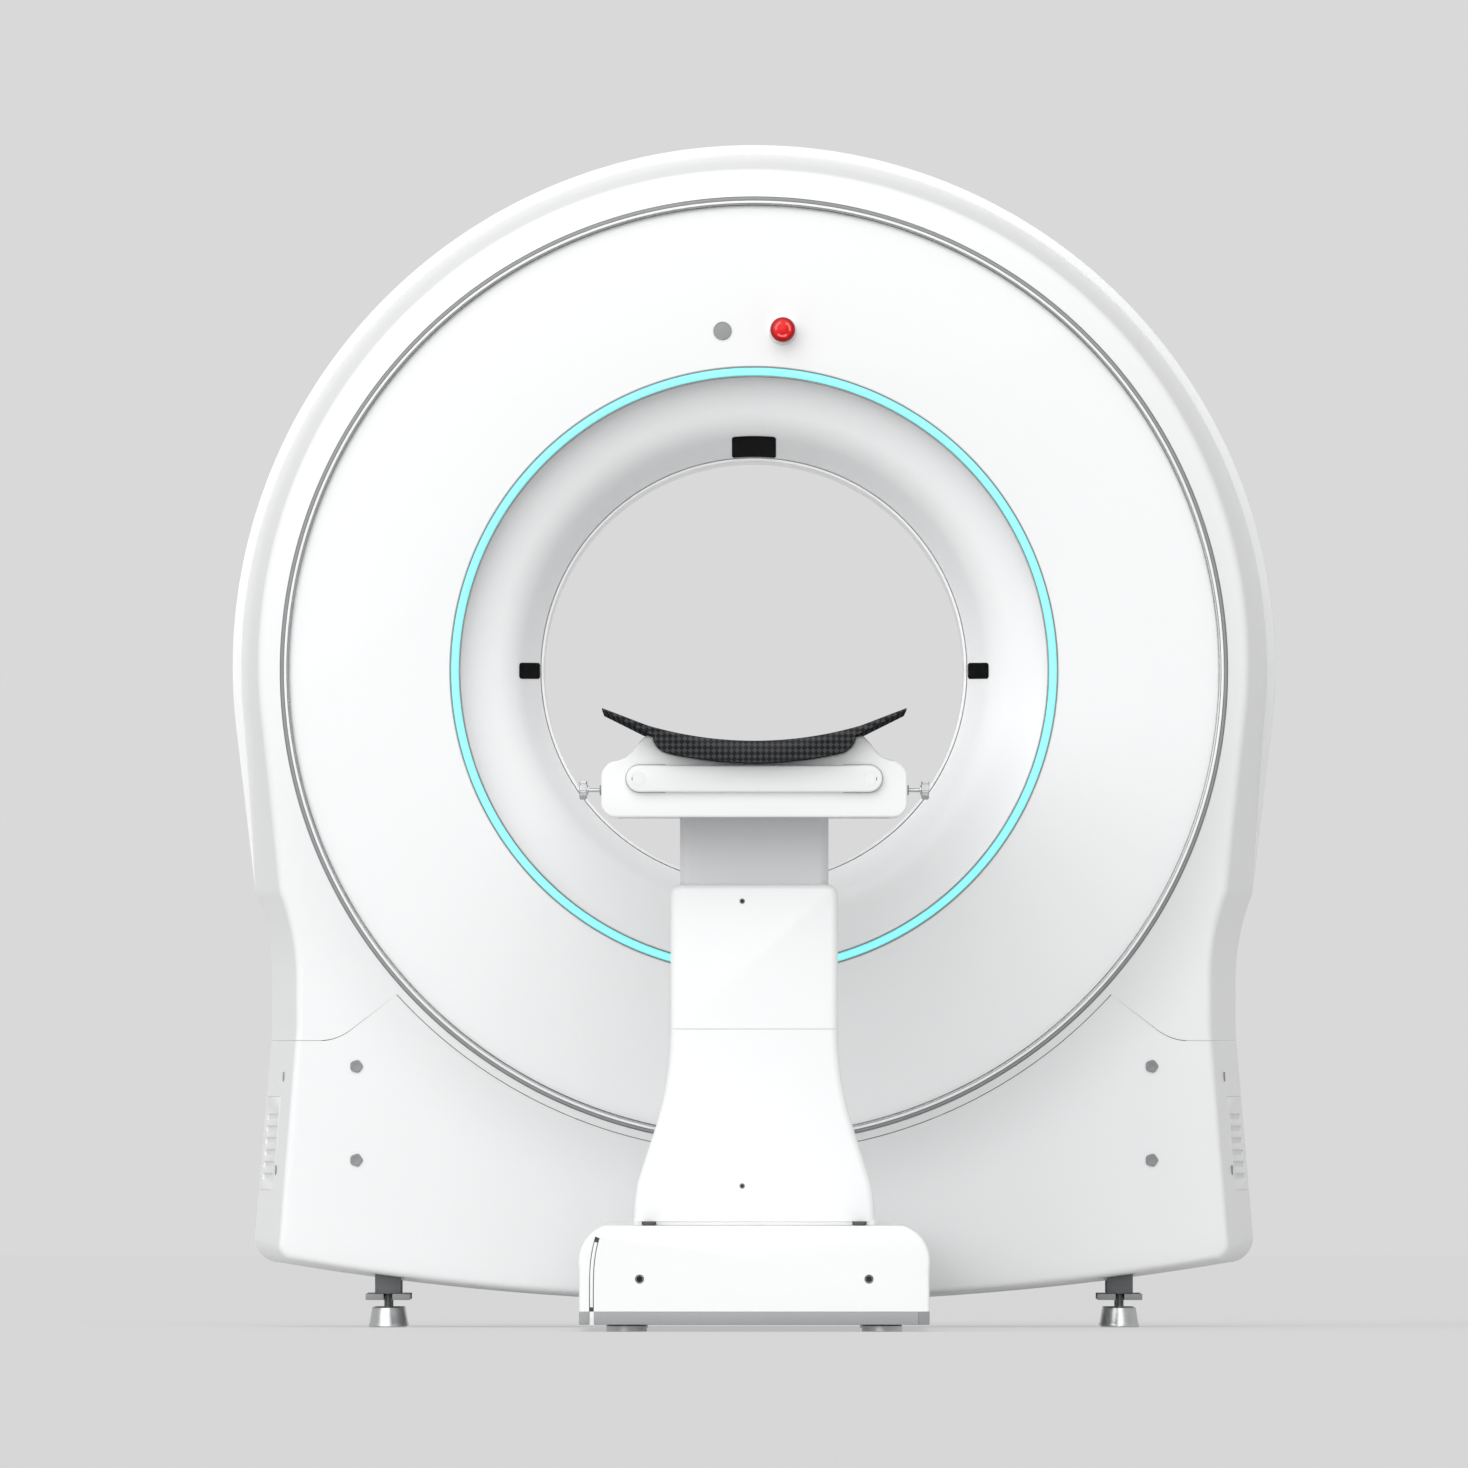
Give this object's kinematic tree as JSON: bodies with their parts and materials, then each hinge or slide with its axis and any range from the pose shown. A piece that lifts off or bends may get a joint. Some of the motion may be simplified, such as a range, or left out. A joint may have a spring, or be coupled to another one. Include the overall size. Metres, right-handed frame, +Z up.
{
  "type": "ct scanner",
  "caption": "Small-bore CT scanner: round white gantry on levelling feet with an open bore, in front of it a travelling, lifting table column that carries a trough-shaped carbon cradle.",
  "frame": {"origin": "on the floor, below the middle of the whole machine", "axes": "+X across the gantry, +Y from the free end of the table into the bore, +Z up"},
  "size_m": [1.4938, 2.4, 1.693],
  "materials": {
    "white_cover": "satin white moulded plastic",
    "panel_white": "smooth white plastic",
    "trim_metal": "brushed",
    "light_strip": "cyan light diffuser",
    "window_black": "gloss black",
    "stop_red": "gloss red",
    "lamp_grey": "frosted grey",
    "cap_grey": "matte grey",
    "dark_plastic": "matte dark grey",
    "frame_paint": "powder coat",
    "dark_paint": "dark grey paint",
    "plain_steel": "zinc plated",
    "rotor_aluminium": "machined",
    "cast_weight": "painted",
    "belt_rubber": "matte black",
    "foot_rubber": "matte grey",
    "plate_grey": "satin grey paint",
    "stage_grey": "anodised",
    "bar_white": "smooth white plastic",
    "carbon_black": "woven carbon laminate"
  },
  "bodies": {
    "stand": {"front_upper_cover": "white_cover", "front_lower_cover": "white_cover", "rear_upper_cover": "white_cover", "rear_lower_cover": "white_cover", "side_vent_grilles": "white_cover", "front_panel": "panel_white", "trim_ring": "trim_metal", "light_ring": "light_strip", "front_flare": "white_cover", "laser_windows": "window_black", "bore_tunnel": "panel_white", "emergency_stop_collar": "panel_white", "status_lamp": "lamp_grey", "cover_screw_caps": "cap_grey", "gantry_frame": "frame_paint", "foot_blocks": "dark_paint", "levelling_feet": "foot_rubber", "foot_lock_plates": "plain_steel", "bearing_ring": "plain_steel", "drive_belt": "belt_rubber", "drive_motor": "dark_paint", "base_cover": "white_cover", "base_plate": "plate_grey", "base_side_strip": "plate_grey", "guide_rails": "dark_paint", "gantry_tie_block": "frame_paint", "base_feet": "foot_rubber"},
    "rotor": {"rotor_drum": "rotor_aluminium", "xray_tube": "rotor_aluminium", "beam_collimator": "rotor_aluminium", "detector_arc": "rotor_aluminium", "detector_bracket": "rotor_aluminium", "high_voltage_generator": "rotor_aluminium", "balance_weight": "cast_weight"},
    "motor_shaft": {"motor_pulley": "plain_steel"},
    "stop_plunger": {"emergency_stop_stem": "dark_plastic"},
    "stop_cap": {"emergency_stop_head": "stop_red"},
    "carriage": {"carriage_plate": "frame_paint", "rail_shoes": "plain_steel", "column_lower_cover": "white_cover", "column_upper_cover": "white_cover", "column_profile": "rotor_aluminium", "lift_actuator": "dark_paint"},
    "lift": {"column_stage": "stage_grey", "lift_rod": "plain_steel", "cradle_holder": "white_cover", "holder_base_plate": "plain_steel", "holder_front_bar": "bar_white", "patient_cradle": "carbon_black"},
    "left_clamp": {"clamp_screw_left": "plain_steel"},
    "right_clamp": {"clamp_screw_right": "plain_steel"}
  },
  "joints": [
    {"name": "rotor_spin", "type": "hinge", "parent": "stand", "child": "rotor", "pos_m": [0, 0.9, 0.938], "axis": [0, 1, 0], "continuous": true},
    {"name": "motor_pulley_spin", "type": "hinge", "parent": "stand", "child": "motor_shaft", "pos_m": [0.36, 0.92, 0.508], "axis": [0, 1, 0], "continuous": true},
    {"name": "column_travel", "type": "slide", "parent": "stand", "child": "carriage", "axis": [0, 1, 0], "range_m": [0, 0.9]},
    {"name": "column_lift", "type": "slide", "parent": "carriage", "child": "lift", "axis": [0, 0, 1], "range_m": [-0.085, 0.15]},
    {"name": "stop_press", "type": "slide", "parent": "stand", "child": "stop_plunger", "axis": [-0.0066, 0.9969, -0.0782], "range_m": [0, 0.005], "stiffness_N_per_m": 3000},
    {"name": "stop_twist", "type": "hinge", "parent": "stop_plunger", "child": "stop_cap", "pos_m": [0.041, 0.47613, 1.423], "axis": [0.0066, -0.9969, 0.0782], "range_deg": [-45, 0], "stiffness_Nm_per_rad": 0.3},
    {"name": "left_clamp_turn", "type": "hinge", "parent": "lift", "child": "left_clamp", "pos_m": [-0.21, -1.01, 0.761], "axis": [-1, 0, 0], "range_deg": [-720, 720]},
    {"name": "right_clamp_turn", "type": "hinge", "parent": "lift", "child": "right_clamp", "pos_m": [0.21, -1.01, 0.761], "axis": [1, 0, 0], "range_deg": [-720, 720]}
  ],
  "couplings": [
    {"joint": "motor_pulley_spin", "follows": "rotor_spin", "ratio": 8.8889}
  ]
}
